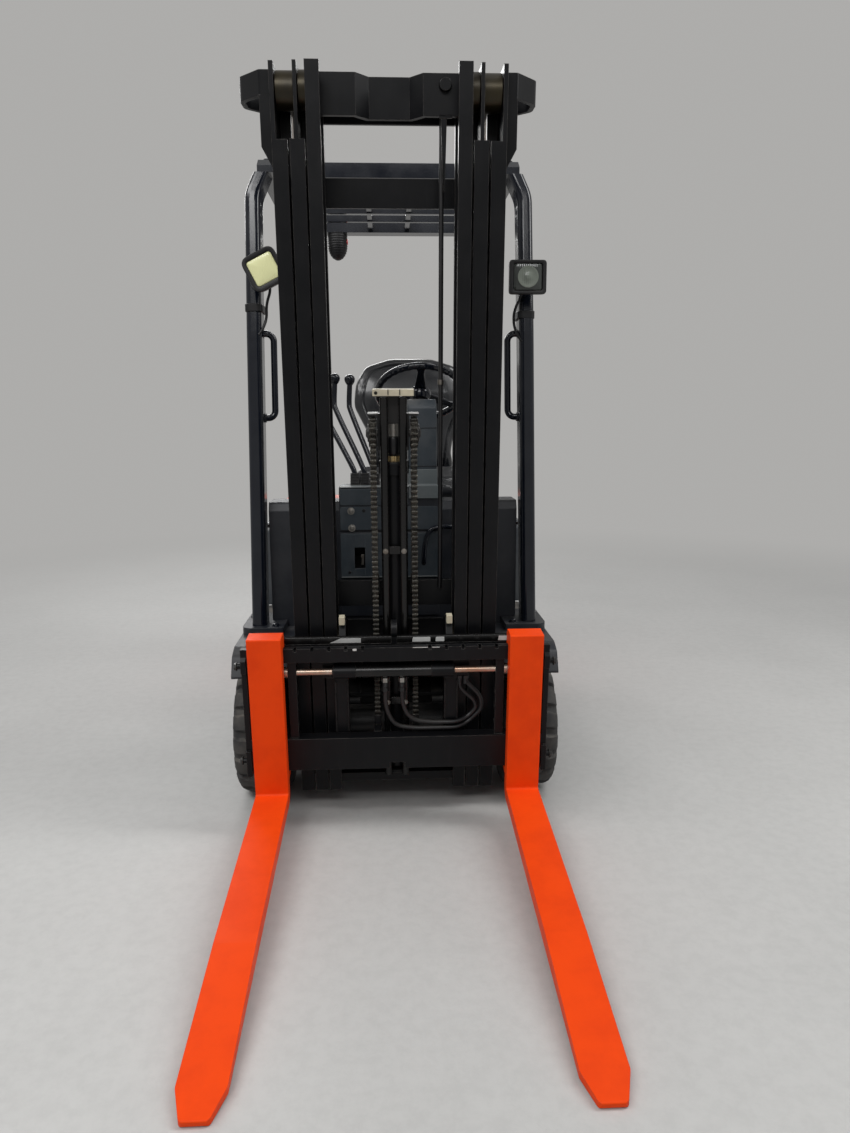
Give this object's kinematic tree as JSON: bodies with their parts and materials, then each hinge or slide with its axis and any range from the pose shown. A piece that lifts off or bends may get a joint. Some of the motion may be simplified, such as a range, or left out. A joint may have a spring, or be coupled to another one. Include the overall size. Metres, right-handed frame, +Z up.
{
  "type": "forklift truck",
  "caption": "Compact electric counterbalance forklift with a tilting telescopic mast, side-shifting forks, open cab under a slatted guard, opening battery hood and steered rear wheels.",
  "frame": {"origin": "on the floor, under the middle of the whole truck's box, forks included", "axes": "+Z up, -Y the way the forks point and the truck drives forward, +X the truck's left"},
  "size_m": [1.08, 2.9986, 2.221],
  "materials": {
    "mast_black": "semi-gloss black paint over rolled steel",
    "fork_orange": "bright orange-red paint, worn at heel and tip",
    "roller_steel": "greasy steel",
    "chrome_rod": "hard chrome",
    "crosshead_steel": "black paint with a pale top plate",
    "chain_steel": "oiled steel",
    "hose_rubber": "smooth black rubber",
    "tyre_rubber": "solid rubber, scuffed",
    "rim_grey": "grey paint",
    "frame_black": "black paint",
    "battery_case": "plain block standing for a lead-acid battery",
    "weight_orange": "orange paint over cast iron",
    "floor_steel": "dark mat",
    "slate_plastic": "moulded slate-grey plastic",
    "guard_blue_black": "gloss blue-black paint",
    "hood_grey": "slate-grey paint",
    "control_black": "black plastic",
    "lamp_black": "black plastic",
    "lamp_glass": "clear and pale yellow lenses",
    "seat_vinyl": "black vinyl",
    "seat_shell": "black plastic and rubber bellows"
  },
  "bodies": {
    "chassis": {"chassis_frame": "frame_black", "drive_axle": "frame_black", "battery": "battery_case", "counterweight": "weight_orange", "floor_plate": "floor_steel", "steps": "frame_black", "fenders": "slate_plastic", "front_cowl": "slate_plastic", "column_cover": "slate_plastic", "steering_wheel": "control_black", "levers": "control_black", "pedals": "control_black", "guard_front_legs": "guard_blue_black", "guard_rear_legs": "guard_blue_black", "guard_roof": "guard_blue_black", "headlamps": "lamp_black", "headlamp_lenses": "lamp_glass", "rear_lamp": "lamp_black", "hood_hinges": "frame_black"},
    "hood": {"hood": "hood_grey", "seat_base": "seat_shell", "seat_cushion": "seat_vinyl", "seat_back": "seat_vinyl"},
    "wheel_left": {"front_tyre_left": "tyre_rubber", "front_rim_left": "rim_grey"},
    "wheel_right": {"front_tyre_right": "tyre_rubber", "front_rim_right": "rim_grey"},
    "steer_yoke": {"steer_yoke": "frame_black"},
    "steer_wheels": {"steer_tyres": "tyre_rubber", "steer_rims": "rim_grey"},
    "mast_outer": {"outer_mast": "mast_black", "outer_rollers": "roller_steel", "lift_barrels": "mast_black"},
    "mast_middle": {"middle_mast": "mast_black", "middle_rollers": "roller_steel", "lift_rods": "chrome_rod"},
    "mast_inner": {"inner_mast": "mast_black", "inner_rollers": "roller_steel", "free_lift_cylinder": "mast_black", "guide_posts": "mast_black", "mast_hose": "hose_rubber"},
    "crosshead": {"crosshead": "crosshead_steel", "lift_chains": "chain_steel"},
    "carriage": {"carriage_frame": "mast_black", "carriage_rollers": "roller_steel", "shift_barrel": "mast_black", "carriage_hoses": "hose_rubber"},
    "side_shifter": {"shift_frame": "mast_black", "shift_rod": "chrome_rod"},
    "fork_left": {"fork_left": "fork_orange"},
    "fork_right": {"fork_right": "fork_orange"},
    "tilt_barrels": {"tilt_barrels": "frame_black"},
    "tilt_rods": {"tilt_rods": "chrome_rod"}
  },
  "joints": [
    {"name": "wheel_left_spin", "type": "hinge", "parent": "chassis", "child": "wheel_left", "pos_m": [0.451, -0.07554, 0.2285], "axis": [1, 0, 0], "continuous": true},
    {"name": "wheel_right_spin", "type": "hinge", "parent": "chassis", "child": "wheel_right", "pos_m": [-0.451, -0.07554, 0.2285], "axis": [1, 0, 0], "continuous": true},
    {"name": "steering", "type": "hinge", "parent": "chassis", "child": "steer_yoke", "pos_m": [0, 1.24446, 0.19], "axis": [0, 0, 1], "range_deg": [-85, 85]},
    {"name": "steer_wheels_spin", "type": "hinge", "parent": "steer_yoke", "child": "steer_wheels", "pos_m": [0, 1.24446, 0.19], "axis": [1, 0, 0], "continuous": true},
    {"name": "hood_open", "type": "hinge", "parent": "chassis", "child": "hood", "pos_m": [0, 0.96647, 0.884], "axis": [-1, 0, 0], "range_deg": [0, 60]},
    {"name": "mast_tilt", "type": "hinge", "parent": "chassis", "child": "mast_outer", "pos_m": [0, -0.07554, 0.2285], "axis": [-1, 0, 0], "range_deg": [0, 11]},
    {"name": "mast_raise", "type": "slide", "parent": "mast_outer", "child": "mast_middle", "axis": [0, -0.0872, 0.9962], "range_m": [0, 1.5]},
    {"name": "inner_raise", "type": "slide", "parent": "mast_middle", "child": "mast_inner", "axis": [0, -0.0872, 0.9962], "range_m": [0, 1.5]},
    {"name": "carriage_lift", "type": "slide", "parent": "mast_inner", "child": "carriage", "axis": [0, -0.0872, 0.9962], "range_m": [0, 1.37], "deforming": ["lift_chains"]},
    {"name": "crosshead_lift", "type": "slide", "parent": "mast_inner", "child": "crosshead", "axis": [0, -0.0872, 0.9962], "range_m": [0, 0.685]},
    {"name": "side_shift", "type": "slide", "parent": "carriage", "child": "side_shifter", "axis": [1, 0, 0], "range_m": [-0.075, 0.075]},
    {"name": "fork_left_spread", "type": "slide", "parent": "side_shifter", "child": "fork_left", "axis": [-1, 0, 0], "range_m": [0, 0.25]},
    {"name": "fork_right_spread", "type": "slide", "parent": "side_shifter", "child": "fork_right", "axis": [1, 0, 0], "range_m": [0, 0.25]},
    {"name": "tilt_barrel_swing", "type": "hinge", "parent": "chassis", "child": "tilt_barrels", "pos_m": [0, 0.25446, 0.42], "axis": [-1, 0, 0], "range_deg": [0, 3.2]},
    {"name": "tilt_rod_slide", "type": "slide", "parent": "tilt_barrels", "child": "tilt_rods", "axis": [0, 0.9901, -0.1404], "range_m": [0, 0.06]}
  ],
  "couplings": [
    {"joint": "inner_raise", "follows": "mast_raise", "ratio": 1},
    {"joint": "crosshead_lift", "follows": "carriage_lift", "ratio": 0.5},
    {"joint": "tilt_barrel_swing", "follows": "mast_tilt", "ratio": 0.20819},
    {"joint": "tilt_rod_slide", "follows": "mast_tilt", "m_per_rad": 0.24221}
  ]
}
